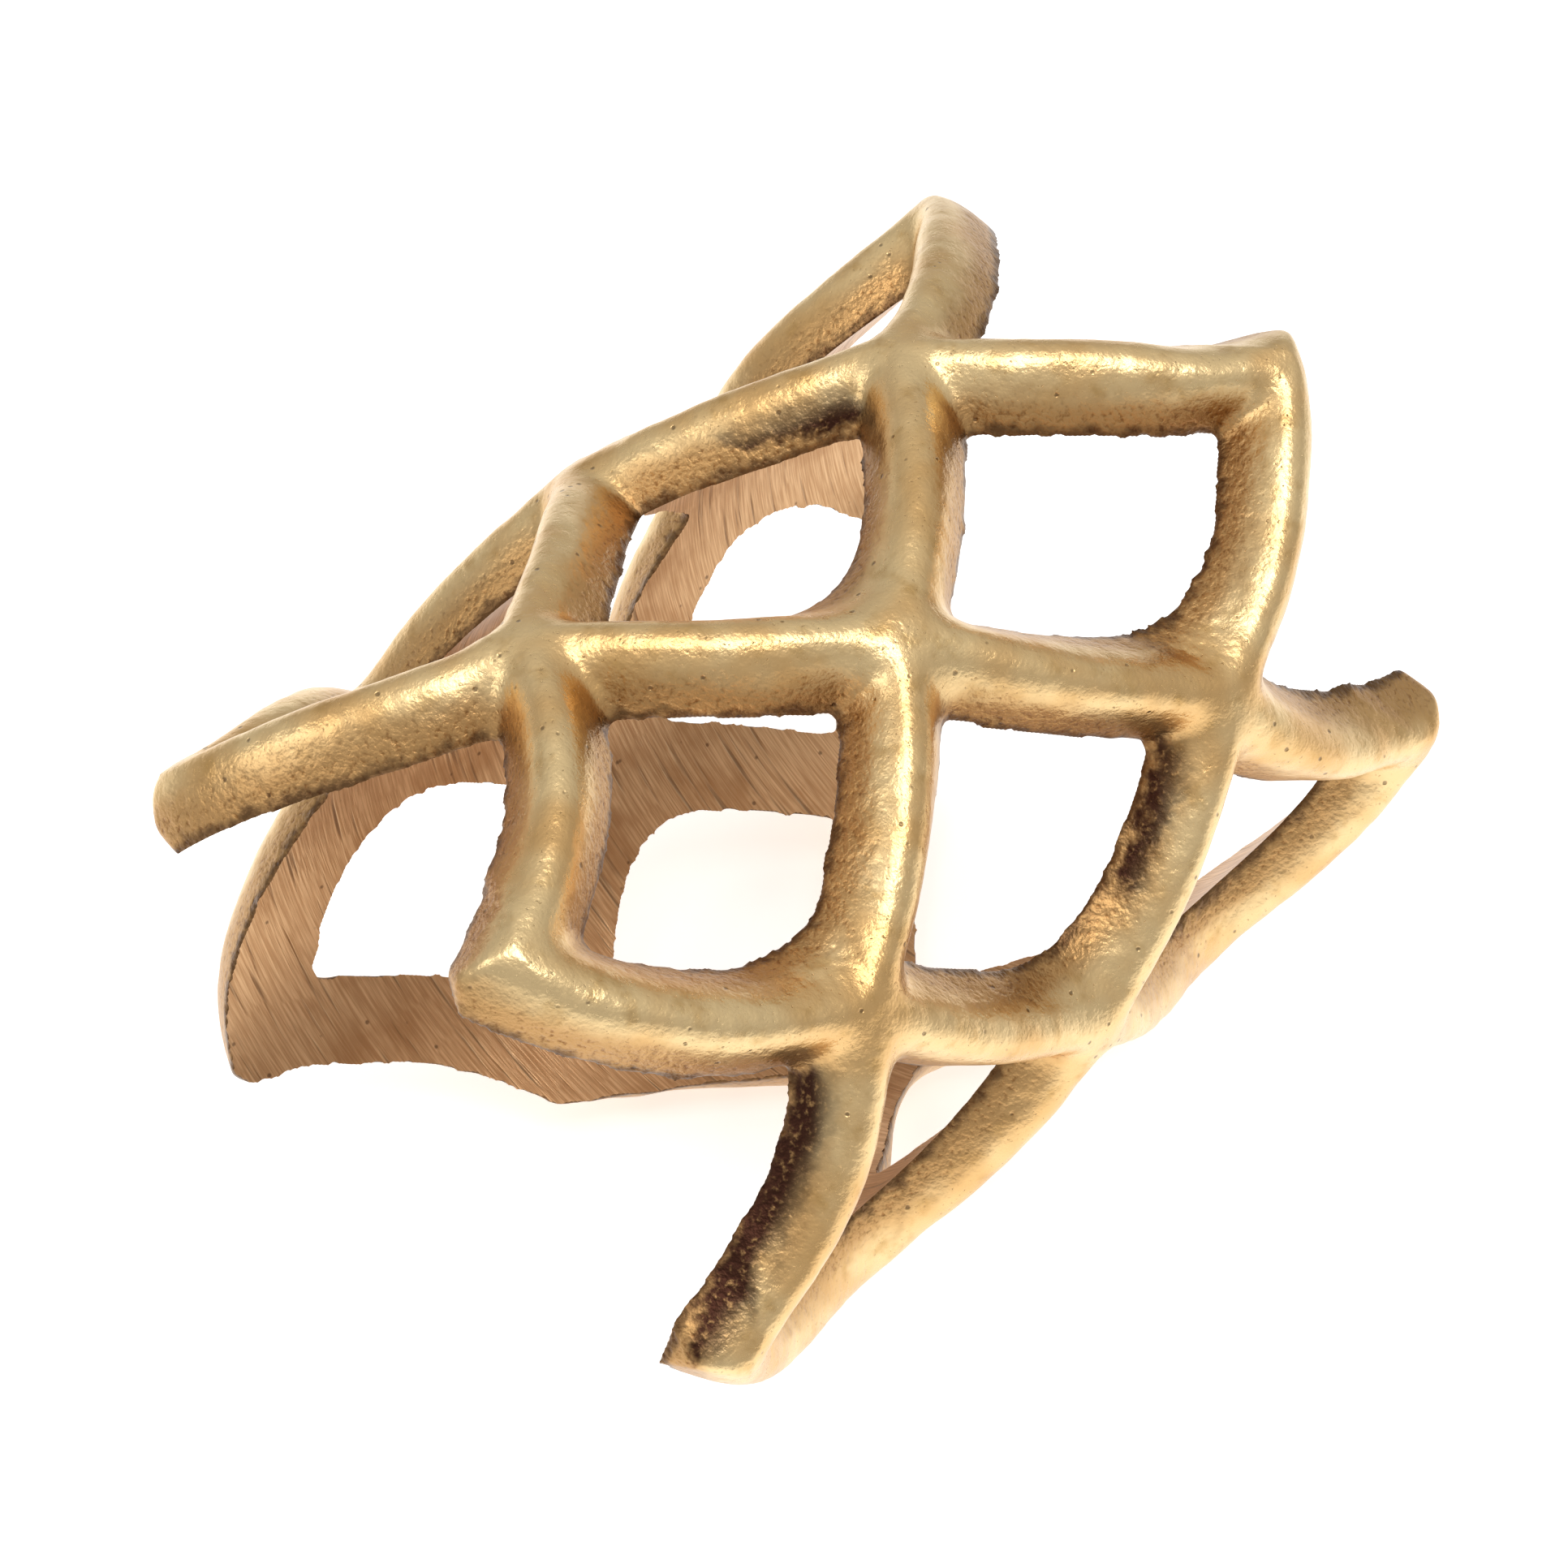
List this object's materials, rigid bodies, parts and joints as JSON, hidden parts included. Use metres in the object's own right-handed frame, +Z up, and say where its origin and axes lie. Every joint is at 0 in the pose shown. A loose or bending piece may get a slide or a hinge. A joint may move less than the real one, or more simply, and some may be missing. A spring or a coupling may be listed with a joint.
{
  "type": "openwork napkin ring",
  "caption": "Cast brass napkin ring, an open lattice of ogee scales round a bore, with pointed tips at both ends and a narrow waist at the back.",
  "frame": {"origin": "centre of the bore, half way along the ring", "axes": "+Y along the bore; +Z up, with the ring lying on its side on the two bars between its bare column and the next; +X to the right seen from the front"},
  "size_m": [0.0458, 0.0612, 0.0453],
  "materials": {
    "cast_brass": "satin-polished outside, as-cast sides, belt-ground bore"
  },
  "bodies": {
    "root": {"back_bar_01": "cast_brass", "back_bar_02": "cast_brass", "back_bar_03": "cast_brass", "back_bar_04": "cast_brass", "back_bar_05": "cast_brass", "back_bar_06": "cast_brass", "back_bar_07": "cast_brass", "back_bar_08": "cast_brass", "back_bar_09": "cast_brass", "back_bar_10": "cast_brass", "back_tip_bar_01": "cast_brass", "back_tip_bar_02": "cast_brass", "back_tip_bar_03": "cast_brass", "back_tip_bar_06": "cast_brass", "back_tip_bar_07": "cast_brass", "back_tip_bar_08": "cast_brass", "back_tip_bar_09": "cast_brass", "back_tip_bar_10": "cast_brass", "front_bar_01": "cast_brass", "front_bar_02": "cast_brass", "front_bar_03": "cast_brass", "front_bar_04": "cast_brass", "front_bar_05": "cast_brass", "front_bar_06": "cast_brass", "front_bar_07": "cast_brass", "front_bar_08": "cast_brass", "front_bar_09": "cast_brass", "front_bar_10": "cast_brass", "front_tip_bar_01": "cast_brass", "front_tip_bar_02": "cast_brass", "front_tip_bar_03": "cast_brass", "front_tip_bar_06": "cast_brass", "front_tip_bar_07": "cast_brass", "front_tip_bar_08": "cast_brass", "front_tip_bar_09": "cast_brass", "front_tip_bar_10": "cast_brass"}
  },
  "joints": []
}
